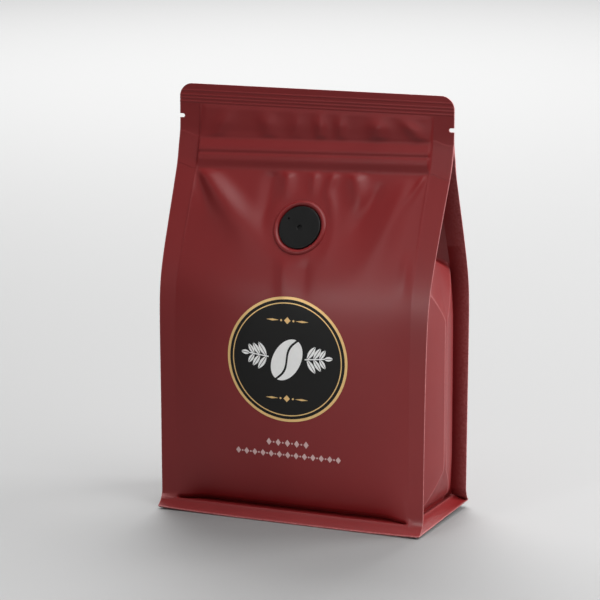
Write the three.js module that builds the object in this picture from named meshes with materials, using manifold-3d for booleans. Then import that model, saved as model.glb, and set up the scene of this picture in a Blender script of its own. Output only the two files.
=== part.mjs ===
// A shut, flat-bottomed coffee bag that stands by itself. Its front and back panels are sealed to
// creased side gussets along four upright fins, and to the base along a foot that flares outwards.
// The front carries a press-to-close band, tear notches and a one-way valve in a raised ring.
// Millimetres, +Z up, the front faces -Y, and the origin is under the middle of the base.

import * as THREE from 'three';
import Module from 'manifold-3d';
import { mergeVertices } from 'three/addons/utils/BufferGeometryUtils.js';

// Overall sizes
const HEIGHT = 187.5;
const TOP_WIDTH = 130;
const BASE_WIDTH = 125.2;
const WIDENING_HEIGHT = 160;
const BODY_HALF_WIDTH = 55.6;
const FIN_DEPTH = 53.2;
const CORNER_RADIUS = 6;

// Film and the upright fins
const TOP_SHEET_HALF = 0.6;
const FIN_THICKNESS = 0.8;
const FIN_THICKENS_AT = 140;
const PANELS_MEET_AT = 164;

// The panels lean together above the filled part
const LEAN_START = 103;
const LEAN_START_ROUND = 12;
const LEAN_TOP = 163;
const LEAN_TOP_ROUND = 6;

// Foot
const FOOT_HEIGHT = 4.9;
const FOOT_FLARE = 4.6;
const FLARE_HEIGHT = 9;
const FOOT_SIDE_REACH = 62;
const FOOT_EDGE = 0.7;
const FOOT_INSET = 0.6;
const GROOVE_INSET = 5.4;
const GROOVE_HEIGHT = 3.6;
const BASE_INSET = 9.5;
const CORNER_LIFT_FRONT = 1.0;
const CORNER_LIFT_BACK = 3.2;

// Swell of the filled front and back panels
const BULGE = 3.7;
const BULGE_BIAS = 0.9;
const BULGE_ACROSS = 2.2;
const TUCK = 1.5;
const TUCK_HEIGHT = 4;

// Press-to-close band and the ribs of the top seal
const BAND_BOTTOM = 153.5;
const BAND_TOP = 165.5;
const BAND_LIFT = 0.7;
const BAND_EDGE = 1.2;
const BAND_RIDGES = [158.8, 163.2];
const BAND_RIDGE_LIFT = 0.5;
const BAND_RIDGE_HALF = 1.1;
const SEAL_RIBS = [179.4, 181.0, 182.4, 184.4];
const RIB_LIFT = 0.3;
const RIB_HALF = 0.45;

// Side gusset: an outward ridge that splits into a Y at the base and another at the shoulder,
// then a fold above which the film turns into the pocket between the fins
const RIDGE_REACH = 7;
const RIDGE_HALF_WIDTH = 0.05;
const PILLOW = 1.2;
const SPLIT_LOW = 25;
const SPLIT_HIGH = 88.8;
const RIDGE_END = 111.6;
const FOLD_AT_ROOT = 107.5;
const FOLD_RISE = 8.5;
const FOLD_TURN = 7;
const FOLD_FADES_AT = 150;
const GUSSET_HALF_FILM = 27.5;

// Valve and its raised ring
const VALVE_HEIGHT = 129.1;
const CAP_RADIUS = 9.65;
const CAP_BOTTOM = -0.9;
const CAP_TOP = 0.55;
const CAP_EDGE = 0.35;
const VENT_RADIUS = 0.85;
const PIN_HOLE_RADIUS = 0.45;
const PIN_HOLE_AT = [-5.6, 3.6];
const CLEARANCE = 0.3;
const RING_CREST_RADIUS = 11.3;
const RING_RADIUS = 12.5;
const RING_LIFT = 0.95;
const RING_SHOULDER = 0.7;
const RING_ROOT = -2.2;
const SEAT_MOUTH = 4;
const ROUND_SEGMENTS = 48;

// Tear notches
const NOTCH_HEIGHT = 173;
const NOTCH_DEPTH = 2.3;
const NOTCH_RADIUS = 0.85;
const NOTCH_CUT = 5;
const NOTCH_ARC_SEGMENTS = 8;

// Corners closer than this are one corner
const MERGE_DISTANCE = 1e-4;

// Broad folds pressed into the front: each runs from low to high, [x, z], and bends on the way
const FOLDS = [
  { low: [-10, 101], high: [-55, 154], bend: 1.75, lift: 1.5, spread: [5, 4] },
  { low: [-46, 112], high: [-57, 142], bend: 1.3, lift: 0.7, spread: [4, 2] },
  { low: [28, 106], high: [52, 150], bend: 1.2, lift: 0.8, spread: [6, 3] },
  { low: [14, 124], high: [12.5, 152], bend: 1, lift: 0.7, spread: [2.5, 2.2] },
  { low: [-6, 140], high: [-8.5, 153], bend: 1, lift: 0.6, spread: [2.5, 2.5] },
];

const wasm = await Module();
wasm.setup();

const FRONT = -1;
const BACK = 1;

/** max(value, 0) with its corner rounded over about the given radius. */
function softRamp(value, radius) {
  return 0.5 * (value + Math.hypot(value, radius));
}

function clamp01(value) {
  return Math.min(1, Math.max(0, value));
}

function smoothStep(t) {
  const s = clamp01(t);
  return s * s * (3 - 2 * s);
}

/** A smooth bump, 1 at the centre and 0 beyond the half width. */
function bump(distance, half) {
  return 0.5 + 0.5 * Math.cos(Math.PI * Math.min(1, Math.abs(distance) / half));
}

/** Distance of a fin's outer face from the mid-plane: upright below, leaning to the top sheet. */
function finReach(z) {
  const slope = (FIN_DEPTH / 2 - TOP_SHEET_HALF) / (LEAN_TOP - LEAN_START);
  const below = softRamp(LEAN_START - z, LEAN_START_ROUND);
  return TOP_SHEET_HALF + slope * (softRamp(LEAN_TOP - z, LEAN_TOP_ROUND) - below);
}

/** Half of the gap between the two fins of one side, nothing where the panels meet. */
function halfGap(z) {
  const closing = clamp01((z - FIN_THICKENS_AT) / (PANELS_MEET_AT - FIN_THICKENS_AT));
  const thickness = FIN_THICKNESS + closing * (finReach(PANELS_MEET_AT) - FIN_THICKNESS);
  return Math.max(0, finReach(z) - thickness);
}

/** Half width to the cut edge of the fins, a little wider upwards, with rounded top corners. */
function halfWidth(z) {
  const widening = ((TOP_WIDTH - BASE_WIDTH) / 2) * Math.min(1, z / WIDENING_HEIGHT) ** 2;
  const intoCorner = Math.max(0, z - (HEIGHT - CORNER_RADIUS));
  const corner = CORNER_RADIUS - Math.sqrt(CORNER_RADIUS ** 2 - intoCorner ** 2);
  return BASE_WIDTH / 2 + widening - corner;
}

/** How far the foot stands out from the fins, growing to the ground. */
function flare(z) {
  return FOOT_FLARE * Math.max(0, 1 - z / FLARE_HEIGHT) ** 2;
}

/** The foot's edge curls off the ground towards its corners, most at the back. */
function edgeLift(x, y) {
  const backness = clamp01(0.5 + y / (FIN_DEPTH + 2 * FOOT_FLARE));
  const lift = CORNER_LIFT_FRONT + (CORNER_LIFT_BACK - CORNER_LIFT_FRONT) * backness;
  return lift * Math.min(1, Math.abs(x) / FOOT_SIDE_REACH) ** 4;
}

/** Bulge of a filled panel between its seals, and its tuck just above the foot. */
function swell(x, z) {
  const across = 1 - Math.min(1, Math.abs(x) / BODY_HALF_WIDTH) ** BULGE_ACROSS;
  const up = clamp01((z - FOOT_HEIGHT) / (BAND_BOTTOM - FOOT_HEIGHT));
  const fade = z < FOOT_HEIGHT ? z / FOOT_HEIGHT : Math.exp(-(((z - FOOT_HEIGHT) / TUCK_HEIGHT) ** 2));
  return across * BULGE * Math.sin(Math.PI * up ** BULGE_BIAS) - Math.sqrt(across) * TUCK * fade;
}

/** The press-to-close band: a low step with two ridges, between the upright seals. */
function band(x, z) {
  if (Math.abs(x) >= BODY_HALF_WIDTH) {
    return 0;
  }
  const step = smoothStep((z - BAND_BOTTOM) / BAND_EDGE) * smoothStep((BAND_TOP - z) / BAND_EDGE);
  const ridges = BAND_RIDGES.reduce((sum, at) => sum + bump(z - at, BAND_RIDGE_HALF), 0);
  return BAND_LIFT * step + BAND_RIDGE_LIFT * ridges;
}

/** The fine ribs that the sealing bar leaves across the whole top. */
function ribs(z) {
  return RIB_LIFT * SEAL_RIBS.reduce((sum, at) => sum + bump(z - at, RIB_HALF), 0);
}

/** Height of one fold at a point: a soft ridge along a bent line, fading at both ends. */
function foldLift(fold, x, z) {
  const along = (z - fold.low[1]) / (fold.high[1] - fold.low[1]);
  if (along <= 0 || along >= 1) {
    return 0;
  }
  const centre = fold.low[0] + (fold.high[0] - fold.low[0]) * along ** fold.bend;
  const spread = fold.spread[0] + (fold.spread[1] - fold.spread[0]) * along;
  return fold.lift * Math.sin(Math.PI * along) * Math.exp(-(((x - centre) / spread) ** 2));
}

/** Distance of a panel's face from the mid-plane. */
function panelReach(x, z, side) {
  let reach = finReach(z) + flare(z) + swell(x, z) + band(x, z) + ribs(z);
  if (side === FRONT && Math.abs(x) < BODY_HALF_WIDTH) {
    reach += FOLDS.reduce((sum, fold) => sum + foldLift(fold, x, z), 0);
  }
  return reach;
}

/** Side reach of the line where a gusset leaves its fin: the foot slopes out below it. */
function gussetRoot(z) {
  const down = clamp01(1 - z / FOOT_HEIGHT);
  return BODY_HALF_WIDTH + (FOOT_SIDE_REACH - BODY_HALF_WIDTH) * down;
}

/** Where the slanting creases of the two Ys lie at this level, as a share of the half depth. */
function creaseShare(level) {
  const low = 1 - (level - FOOT_HEIGHT) / (SPLIT_LOW - FOOT_HEIGHT);
  const high = 1 - (RIDGE_END - level) / (RIDGE_END - SPLIT_HIGH);
  return Math.min(1 - RIDGE_HALF_WIDTH, Math.max(RIDGE_HALF_WIDTH, low, high));
}

/** The gusset's levels rise towards its middle at the fold, and are even at both ends. */
function levelRise(level) {
  const below = (level - SPLIT_HIGH) / (FOLD_AT_ROOT - SPLIT_HIGH);
  const above = (FOLD_FADES_AT - level) / (FOLD_FADES_AT - FOLD_AT_ROOT - FOLD_TURN);
  return FOLD_RISE * clamp01(Math.min(below, above));
}

/** A point of the gusset film. share is -1 at the front root, 0 at the middle, 1 at the back. */
function gussetPoint(share, level) {
  const inward = 1 - Math.abs(share);
  const low = (level - FOOT_HEIGHT) / (SPLIT_LOW - FOOT_HEIGHT);
  const high = (RIDGE_END - level) / (RIDGE_END - SPLIT_HIGH);
  const rise = Math.max(0, Math.min(inward, low, high, 1 - RIDGE_HALF_WIDTH));
  const pillow = PILLOW * 4 * inward * (1 - inward) * clamp01(low) * clamp01(high);
  const outer = gussetRoot(level) + RIDGE_REACH * rise + pillow;
  const z = level + levelRise(level) * inward;
  const gap = halfGap(z) + flare(z);
  const pocket = BODY_HALF_WIDTH - Math.sqrt(Math.max(0, GUSSET_HALF_FILM ** 2 - gap ** 2)) * inward;
  const turn = smoothStep((level - FOLD_AT_ROOT) / FOLD_TURN);
  return [outer + (pocket - outer) * turn, share * gap, z];
}

/** x positions of a panel's columns, from the left cut edge to the right one. */
function panelColumns(z) {
  const shares = [0, 0.11, 0.22, 0.33, 0.44, 0.56, 0.68, 0.8, 0.9, 0.97];
  const inner = shares.map((share) => share * BODY_HALF_WIDTH);
  const right = [...inner, BODY_HALF_WIDTH, halfWidth(z)];
  const left = right.slice(1).reverse().map((x) => -x);
  return [...left, ...right];
}

/** Shares of the half depth at which the gusset has a column, following its creases. */
function gussetShares(level) {
  const crease = creaseShare(level);
  const outer = [1, 2 / 3, 1 / 3].map((t) => crease + (1 - crease) * t);
  const front = [...outer, crease, (crease * 2) / 3, crease / 3].map((share) => -share);
  const back = front.map((share) => -share).reverse();
  return [...front, 0, ...back];
}

/** The right cut edge where front and back panels are sealed to each other. */
function sheetEdge(z) {
  return [[halfWidth(z), 0, z]];
}

/** Points of the right side between the two fins' outer edges, front to back. */
function gussetSide(z) {
  const gap = halfGap(z) + flare(z);
  const film = gussetShares(z).map((share) => gussetPoint(share, z));
  return [[halfWidth(z), -gap, z], ...film, [halfWidth(z), gap, z]];
}

/** The bag's outline at one height, anticlockwise seen from above, with the given right side. */
function outline(z, right) {
  const columns = panelColumns(z);
  const front = columns.map((x) => [x, -panelReach(x, z, FRONT), z]);
  const back = columns.map((x) => [-x, panelReach(x, z, BACK), z]);
  const left = right.map(([x, y, height]) => [-x, -y, height]);
  const curl = Math.max(0, 1 - z / FOOT_HEIGHT);
  const points = [...front, ...right, ...back, ...left];
  return points.map(([x, y, height]) => [x, y, height + curl * edgeLift(x, y)]);
}

/** The outline on the ground drawn in evenly, to shape the underside. */
function underside(inset, z, liftShare) {
  const shrinkX = 1 - inset / halfWidth(0);
  const shrinkY = 1 - inset / (FIN_DEPTH / 2 + FOOT_FLARE);
  return outline(0, gussetSide(0)).map(([x, y, lift]) => [x * shrinkX, y * shrinkY, z + lift * liftShare]);
}

/** Evenly spaced heights after the first, up to and with the second. */
function heights(from, to, count) {
  return Array.from({ length: count }, (_, i) => from + ((to - from) * (i + 1)) / count);
}

function bodyHeights() {
  return [
    FOOT_EDGE,
    FOOT_HEIGHT,
    ...heights(FOOT_HEIGHT, FLARE_HEIGHT, 2),
    ...heights(FLARE_HEIGHT, SPLIT_LOW, 3),
    ...heights(SPLIT_LOW, SPLIT_HIGH, 6),
    ...heights(SPLIT_HIGH, FOLD_AT_ROOT, 3),
    ...heights(FOLD_AT_ROOT, FOLD_AT_ROOT + FOLD_TURN, 3),
    ...heights(FOLD_AT_ROOT + FOLD_TURN, BAND_BOTTOM, 8),
    ...heights(BAND_BOTTOM, PANELS_MEET_AT, 8),
  ];
}

function topHeights() {
  const ribStops = SEAL_RIBS.flatMap((at) => [at - RIB_HALF, at, at + RIB_HALF]);
  return [
    PANELS_MEET_AT,
    ...heights(PANELS_MEET_AT, BAND_TOP, 2),
    ...heights(BAND_TOP, SEAL_RIBS[0] - RIB_HALF, 3).slice(0, -1),
    ...ribStops,
    ...heights(SEAL_RIBS.at(-1) + RIB_HALF, HEIGHT, 3),
  ];
}

/** Joins rings of equal length into a band of triangles, each ring above or inside the last. */
function addBand(triangles, rings) {
  for (let level = 1; level < rings.length; level += 1) {
    const low = rings[level - 1];
    const high = rings[level];
    low.forEach((_, i) => {
      const j = (i + 1) % low.length;
      triangles.push([low[i], low[j], high[j]], [low[i], high[j], high[i]]);
    });
  }
}

/** Closes a ring with a flat fan round its middle point. */
function addCap(triangles, ring, facesUp) {
  const middle = [0, 0, ring[0][2]];
  ring.forEach((point, i) => {
    const next = ring[(i + 1) % ring.length];
    triangles.push(facesUp ? [middle, point, next] : [middle, next, point]);
  });
}

/** A geometry from loose triangles. */
function fromTriangles(triangles) {
  const geometry = new THREE.BufferGeometry();
  geometry.setAttribute('position', new THREE.Float32BufferAttribute(triangles.flat(2), 3));
  return geometry;
}

/** A solid from a closed geometry, without the triangles that shrink to nothing on an axis. */
function toSolid(geometry) {
  const bare = geometry.clone();
  bare.deleteAttribute('normal');
  bare.deleteAttribute('uv');
  const merged = mergeVertices(bare, MERGE_DISTANCE);
  const corners = merged.index.array;
  const kept = [];
  for (let i = 0; i < corners.length; i += 3) {
    const [a, b, c] = corners.slice(i, i + 3);
    if (a !== b && b !== c && c !== a) {
      kept.push(a, b, c);
    }
  }
  const vertProperties = new Float32Array(merged.attributes.position.array);
  const triVerts = new Uint32Array(kept);
  return new wasm.Manifold(new wasm.Mesh({ numProp: 3, vertProperties, triVerts }));
}

function toGeometry(solid) {
  const { vertProperties, triVerts } = solid.getMesh();
  const geometry = new THREE.BufferGeometry();
  geometry.setAttribute('position', new THREE.BufferAttribute(vertProperties, 3));
  geometry.setIndex(new THREE.BufferAttribute(triVerts, 1));
  geometry.computeVertexNormals();
  return geometry;
}

/** The sealed pouch before its valve seat and notches: rings from the base up to the top edge. */
function pouch() {
  const base = underside(BASE_INSET, 0, 0);
  const groove = underside(GROOVE_INSET, GROOVE_HEIGHT, 0);
  const tip = underside(FOOT_INSET, 0, 1);
  const body = bodyHeights().map((z) => outline(z, gussetSide(z)));
  const top = topHeights().map((z) => outline(z, sheetEdge(z)));
  const triangles = [];
  addCap(triangles, base, false);
  addBand(triangles, [base, groove, tip, ...body]);
  addBand(triangles, top);
  addCap(triangles, top.at(-1), true);
  return fromTriangles(triangles);
}

/** Place and tilt of the valve, square to the leaning front panel over the cap's own height. */
function valvePlace() {
  const face = (z) => -finReach(z) - swell(0, z);
  const rise = face(VALVE_HEIGHT + CAP_RADIUS) - face(VALVE_HEIGHT - CAP_RADIUS);
  const outward = new THREE.Vector3(0, -2 * CAP_RADIUS, rise).normalize();
  const turn = new THREE.Quaternion().setFromUnitVectors(new THREE.Vector3(0, 1, 0), outward);
  const centre = new THREE.Vector3(0, face(VALVE_HEIGHT), VALVE_HEIGHT);
  return new THREE.Matrix4().compose(centre, turn, new THREE.Vector3(1, 1, 1));
}

function turned(profile) {
  const points = profile.map(([radius, height]) => new THREE.Vector2(radius, height));
  return new THREE.LatheGeometry(points, ROUND_SEGMENTS);
}

/** The film's raised ring round the valve, rooted in the panel. */
function valveRing() {
  const inner = CAP_RADIUS + CLEARANCE;
  return turned([
    [inner, RING_ROOT],
    [RING_RADIUS, RING_ROOT],
    [RING_RADIUS, 0],
    [(RING_RADIUS + RING_CREST_RADIUS) / 2, RING_SHOULDER],
    [RING_CREST_RADIUS, RING_LIFT],
    [(inner + RING_CREST_RADIUS) / 2, RING_SHOULDER],
    [inner, 0],
    [inner, RING_ROOT],
  ]);
}

/** The room that the valve cap sits in. */
function valveSeat() {
  const radius = CAP_RADIUS + CLEARANCE;
  const floor = CAP_BOTTOM - CLEARANCE;
  return turned([[0, floor], [radius, floor], [radius, SEAT_MOUTH], [0, SEAT_MOUTH]]);
}

/** A small round drill along the valve's axis, through the cap. */
function drill(radius, at) {
  const shaft = new THREE.CylinderGeometry(radius, radius, SEAT_MOUTH, ROUND_SEGMENTS / 2);
  return shaft.translate(at[0], 0, -at[1]);
}

/** The valve's disc with its rounded rim, a vent in the middle and a pin hole beside it. */
function valveCap() {
  const disc = turned([
    [0, CAP_BOTTOM],
    [CAP_RADIUS, CAP_BOTTOM],
    [CAP_RADIUS, CAP_TOP - CAP_EDGE],
    [CAP_RADIUS - CAP_EDGE, CAP_TOP],
    [0, CAP_TOP],
  ]);
  const vent = toSolid(drill(VENT_RADIUS, [0, 0]));
  const pinHole = toSolid(drill(PIN_HOLE_RADIUS, PIN_HOLE_AT));
  return toGeometry(toSolid(disc).subtract(vent).subtract(pinHole));
}

/** A slot with a round end, cut in from the right edge. */
function notch() {
  const deepest = TOP_WIDTH / 2 - NOTCH_DEPTH + NOTCH_RADIUS;
  const outside = TOP_WIDTH / 2 + NOTCH_RADIUS;
  const shape = new THREE.Shape();
  shape.moveTo(outside, -NOTCH_RADIUS);
  shape.lineTo(outside, NOTCH_RADIUS);
  shape.absarc(deepest, 0, NOTCH_RADIUS, Math.PI / 2, (3 * Math.PI) / 2, false);
  shape.closePath();
  const options = { depth: NOTCH_CUT, bevelEnabled: false, curveSegments: NOTCH_ARC_SEGMENTS };
  const slot = new THREE.ExtrudeGeometry(shape, options);
  return slot.rotateX(Math.PI / 2).translate(0, NOTCH_CUT / 2, NOTCH_HEIGHT);
}

function film() {
  const place = valvePlace();
  const ring = toSolid(valveRing().applyMatrix4(place));
  const seat = toSolid(valveSeat().applyMatrix4(place));
  const rightNotch = toSolid(notch());
  const leftNotch = toSolid(notch().rotateZ(Math.PI));
  const solid = toSolid(pouch()).add(ring).subtract(seat).subtract(rightNotch).subtract(leftNotch);
  return toGeometry(solid);
}

const filmFinish = new THREE.MeshStandardMaterial({ color: 0x7d2f30, roughness: 0.5, metalness: 0 });
const capFinish = new THREE.MeshStandardMaterial({ color: 0x202221, roughness: 0.45, metalness: 0 });

const bag = new THREE.Mesh(film(), filmFinish);
bag.name = 'bag';

const cap = new THREE.Mesh(valveCap(), capFinish);
cap.name = 'valve_cap';
cap.applyMatrix4(valvePlace());

const model = new THREE.Group();
model.add(bag, cap);

export default model;
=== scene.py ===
import math

import bpy
import numpy as np
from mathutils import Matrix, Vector


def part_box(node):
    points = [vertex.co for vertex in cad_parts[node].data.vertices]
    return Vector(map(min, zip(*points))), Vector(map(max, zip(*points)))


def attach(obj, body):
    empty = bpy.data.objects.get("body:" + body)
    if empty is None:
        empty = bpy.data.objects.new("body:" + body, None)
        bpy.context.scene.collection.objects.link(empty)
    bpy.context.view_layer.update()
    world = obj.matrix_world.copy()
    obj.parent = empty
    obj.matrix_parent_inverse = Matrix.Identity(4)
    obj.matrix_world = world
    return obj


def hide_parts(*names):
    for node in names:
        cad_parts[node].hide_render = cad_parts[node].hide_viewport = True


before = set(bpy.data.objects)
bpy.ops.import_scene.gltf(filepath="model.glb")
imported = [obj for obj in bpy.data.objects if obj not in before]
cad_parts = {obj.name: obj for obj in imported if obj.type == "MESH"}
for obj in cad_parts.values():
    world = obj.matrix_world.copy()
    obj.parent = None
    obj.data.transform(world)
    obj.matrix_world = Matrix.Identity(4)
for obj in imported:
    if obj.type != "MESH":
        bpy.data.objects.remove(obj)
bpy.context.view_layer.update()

# A shut, flat-bottomed coffee bag of matt red film, with a one-way valve and a printed badge.
# Sizes are in millimetres, as a bag is measured, and go into the meshes in metres. X runs along
# the width, the front faces -Y, and Z is the height above the surface that the bag stands on.


# ---- The pouch ------------------------------------------------------------------------------
# Four panels and a base of one laminated film, heat-sealed to each other along four upright
# fins, round a flared foot and across the top. Filled and shut, so that the front and back
# swell, the side gussets stand out in a crease, and the panels lean together above the coffee.

MM = 0.001
top_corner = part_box("bag")[1]
HEIGHT = top_corner.z / MM
TOP_HALF_WIDTH = top_corner.x / MM
TAPER, WIDENING_HEIGHT = 2.4, 160
BASE_HALF_WIDTH = TOP_HALF_WIDTH - TAPER
BODY_HALF_WIDTH = 55.6
FIN_DEPTH = 53.2
CORNER_RADIUS = 6

# The film, and where the fins close into the flat top sheet
TOP_SHEET_HALF = 0.4
FIN_THICKNESS = 0.45
FIN_THICKENS_AT = 150
PANELS_MEET_AT = 164

# The lean of the panels: heights of its bends, each with its rounding
LEAN_START, LEAN_START_ROUND = 103, 12
LEAN_BEND, LEAN_BEND_ROUND = 153.6, 1.6
LEAN_TOP, LEAN_TOP_ROUND = 166, 2.5
LEAN_ABOVE_BEND = 0.27

# The foot and its cut edge, which curls up towards the corners
FOOT_HEIGHT, FLARE_HEIGHT = 5.4, 8.5
FRONT_FLARE, FRONT_CURVE = 5.1, 2.5
BACK_FLARE, BACK_CURVE = 3.5, 1.3
CURL_HEIGHT, CURL_POWER = 9, 3
FOOT_EDGE = 0.5
LIFT_FRONT, LIFT_BACK = 1.0, 3.2

# The swell, and how it closes in on the foot's lip. Corners are shares of the half width
BULGE, BULGE_BIAS, BULGE_ACROSS = 3.7, 0.9, 2.5
SLOT, SLOT_HEIGHT, SLOT_CORNER = 3.2, 0.45, 0.045
TUCK, TUCK_HEIGHT, TUCK_CORNER = 5.0, 5.0, 0.26
LIP, LIP_DIP = 0.6, 1.2

# The ribs of the top seal, and the band under them as points of height and lift
SEAL_RIBS = (179.4, 181.0, 182.4, 184.4)
RIB_LIFT, RIB_HALF = 0.14, 0.6
BAND_PROFILE = (
    (151.5, 0), (157.2, 1.45), (158.3, 1.45), (159.3, 1.25), (160.7, 1.6), (166.2, 0.55),
    (169.5, 0.5), (178.5, 0),
)
BAND_BOTTOM, BAND_TOP = 152.0, 166.4
BAND_END, BAND_IN_FIN, BAND_EASE = 1.5, 0.14, 0.5

# How much the band rises to the right, and over what heights and width that eases away
BAND_TILT = 0.031
TILT_FROM, TILT_TO = 140, SEAL_RIBS[0] - 1
TILT_EASE_LOW, TILT_EASE_HIGH, TILT_EASE_SIDE = 10, 11, 6

# The loose film above the band, and its dents
LOOSE_FROM, LOOSE_TO, LOOSE_LIFT, LOOSE_LEAN = 165, 179.2, 0.1, 0.02
LOOSE_EASE_LOW, LOOSE_EASE_HIGH, LOOSE_EASE_SIDE = 2, 2.4, 4
DENT_EASE_LOW, DENT_EASE_HIGH = 3, 8

# The seams along the fins and round the right end of the foot's lip
SEAM_AT, SEAM_LIFT, SEAM_HALF = 55.0, 0.16, 0.6
SEAM_EASE_LOW, SEAM_EASE_HIGH = 30, 2
FOOT_SEAM_AT, FOOT_SEAM_LIFT, FOOT_SEAM_HALF, FOOT_SEAM_TALL = 56.3, 0.3, 0.8, 2.6

# The tear notches
NOTCH_AT, NOTCH_DEPTH, NOTCH_RADIUS = 173, 2.3, 0.85

# The valve's seat: the film is flat inside VALVE_FLAT and sinks under the disc
CAP_RADIUS = 9.65
VALVE_AT, VALVE_FLAT, VALVE_EASE = 129.1, 12.5, 7
VALVE_SINK, VALVE_SINK_INSET, VALVE_SINK_EASE = 0.8, 0.6, 1.5

# The film's own unevenness: wave lengths across and up over two pi, and how it eases away
RIPPLE, RIPPLE_FINE, RIPPLE_EASE = 0.12, 0.6, 15
RIPPLE_ACROSS, RIPPLE_UP = 13, 17
RIPPLE_FINE_ACROSS, RIPPLE_FINE_UP = 7.5, 21

# How the folds fade along their way, at the upright seals and at the band
FOLD_SKEW, FOLD_EASE_SIDE = 1.5, 1.5
FOLD_TOP, FOLD_EASE_TOP = BAND_BOTTOM + 0.6, 3.2

# Folds of the front film, each a ridge (or a valley, with a negative lift) from low to high
# in x and z, bent on the way, with its spread to either side at both ends
FRONT_FOLDS = (
    dict(low=(-19, 110), high=(-57, 155), bend=1.5, lift=2.8, spread=(13, 5.4)),
    dict(low=(-43, 128), high=(-57.5, 155), bend=1.0, lift=-1.3, spread=(5.0, 2.6)),
    dict(low=(-17, 122), high=(-18, 156), bend=1.0, lift=-1.2, spread=(4.0, 3.6)),
    dict(low=(-8, 134), high=(-11, 158), bend=1.0, lift=1.2, spread=(3.2, 2.6)),
    dict(low=(3.6, 136), high=(2.0, 158), bend=1.0, lift=0.9, spread=(2.4, 2.2)),
    dict(low=(8, 136), high=(12.8, 157), bend=1.0, lift=1.0, spread=(2.2, 2.4)),
    dict(low=(15.5, 112), high=(11.5, 146), bend=1.0, lift=1.2, spread=(3.6, 2.2)),
    dict(low=(22, 122), high=(34, 150), bend=1.0, lift=-1.2, spread=(4.8, 3.0)),
    dict(low=(28, 132), high=(20, 158), bend=1.0, lift=1.6, spread=(5.0, 3.6)),
    dict(low=(33, 102), high=(47, 152), bend=1.2, lift=1.9, spread=(9.0, 4.2)),
    dict(low=(46, 138), high=(54.5, 156), bend=1.0, lift=0.8, spread=(2.4, 1.5)),
    dict(low=(51.6, 100), high=(51, 122), bend=1.0, lift=0.5, spread=(2.8, 2.2)),
    dict(low=(-1.5, 92), high=(-5, 122), bend=1.0, lift=0.8, spread=(4.0, 3.0)),
    dict(low=(7, 97), high=(5, 122), bend=1.0, lift=-0.6, spread=(3.2, 2.5)),
)
BACK_FOLDS = (
    dict(low=(12, 102), high=(55, 154), bend=1.5, lift=1.7, spread=(8, 3)),
    dict(low=(-20, 108), high=(-54, 153), bend=1.3, lift=1.3, spread=(7, 3)),
    dict(low=(-6, 132), high=(-10, 156), bend=1.0, lift=0.7, spread=(3, 2.2)),
    dict(low=(8, 128), high=(6, 156), bend=1.0, lift=0.6, spread=(3, 2.0)),
    dict(low=(24, 132), high=(21, 156), bend=1.0, lift=0.6, spread=(3, 2.4)),
    dict(low=(-30, 130), high=(-27, 155), bend=1.0, lift=-0.6, spread=(4, 3)),
)

# Dents of the loose film between the band and the top seal, in the same terms
FRONT_DENTS = (
    dict(low=(3.8, 160), high=(3.0, 181), bend=1.0, lift=1.0, spread=(2.8, 2.8)),
    dict(low=(13.4, 160), high=(12.6, 181), bend=1.0, lift=0.8, spread=(2.6, 2.6)),
    dict(low=(31, 160), high=(30, 181), bend=1.0, lift=1.3, spread=(4.2, 4.2)),
    dict(low=(54, 160), high=(40, 181), bend=1.0, lift=1.1, spread=(3.8, 3.8)),
    dict(low=(-9, 160), high=(-7, 181), bend=1.0, lift=0.5, spread=(3.4, 3.4)),
    dict(low=(-20, 160), high=(-23, 181), bend=1.0, lift=0.8, spread=(3.6, 4.6)),
    dict(low=(-50, 160), high=(-38, 181), bend=1.0, lift=0.7, spread=(4.4, 4.4)),
)
BACK_DENTS = (
    dict(low=(-6, 163), high=(-4, 181), bend=1.0, lift=0.4, spread=(3.0, 3.4)),
    dict(low=(11, 163), high=(13, 181), bend=1.0, lift=0.4, spread=(3.4, 2.8)),
    dict(low=(27, 163), high=(24, 181), bend=1.0, lift=0.3, spread=(2.6, 3.2)),
    dict(low=(50, 161), high=(40, 182), bend=1.0, lift=0.5, spread=(3.6, 4.0)),
    dict(low=(-30, 163), high=(-33, 181), bend=1.0, lift=0.45, spread=(3.8, 4.2)),
    dict(low=(-52, 161), high=(-44, 182), bend=1.0, lift=0.4, spread=(3.0, 3.4)),
)


def soft_ramp(value, radius):
    """Zero or the value, whichever is more, with the corner rounded over about the radius."""
    return 0.5 * (value + np.hypot(value, radius))


def smooth_step(t):
    """Goes from 0 to 1 with level ends as t goes from 0 to 1."""
    s = np.clip(t, 0, 1)
    return s * s * (3 - 2 * s)


def bump(distance, half):
    """One cosine wave: 1 at no distance, 0 from the half width on."""
    return 0.5 + 0.5 * np.cos(np.pi * np.minimum(1, np.abs(distance) / half))


def fin_reach(z):
    """Distance of a fin's outer face from the mid-plane: upright up to the shoulder, a straight
    lean to the band, a steeper line behind the band and then the flat top sheet, each bend
    rounded. From the top down, each stretch adds its slope times its height."""
    below_top = soft_ramp(LEAN_TOP - z, LEAN_TOP_ROUND)
    below_bend = soft_ramp(LEAN_BEND - z, LEAN_BEND_ROUND)
    below_start = soft_ramp(LEAN_START - z, LEAN_START_ROUND)
    spread = FIN_DEPTH / 2 - TOP_SHEET_HALF - LEAN_ABOVE_BEND * (LEAN_TOP - LEAN_BEND)
    slope = spread / (LEAN_BEND - LEAN_START)
    upper = LEAN_ABOVE_BEND * (below_top - below_bend)
    return TOP_SHEET_HALF + upper + slope * (below_bend - below_start)


def half_gap(z):
    """Half of the open gap between two fins: their reach less their film, nothing where the
    panels meet."""
    closing = np.clip((z - FIN_THICKENS_AT) / (PANELS_MEET_AT - FIN_THICKENS_AT), 0, 1)
    film = FIN_THICKNESS + closing * (fin_reach(PANELS_MEET_AT) - FIN_THICKNESS)
    return np.maximum(0, fin_reach(z) - film)


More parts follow.
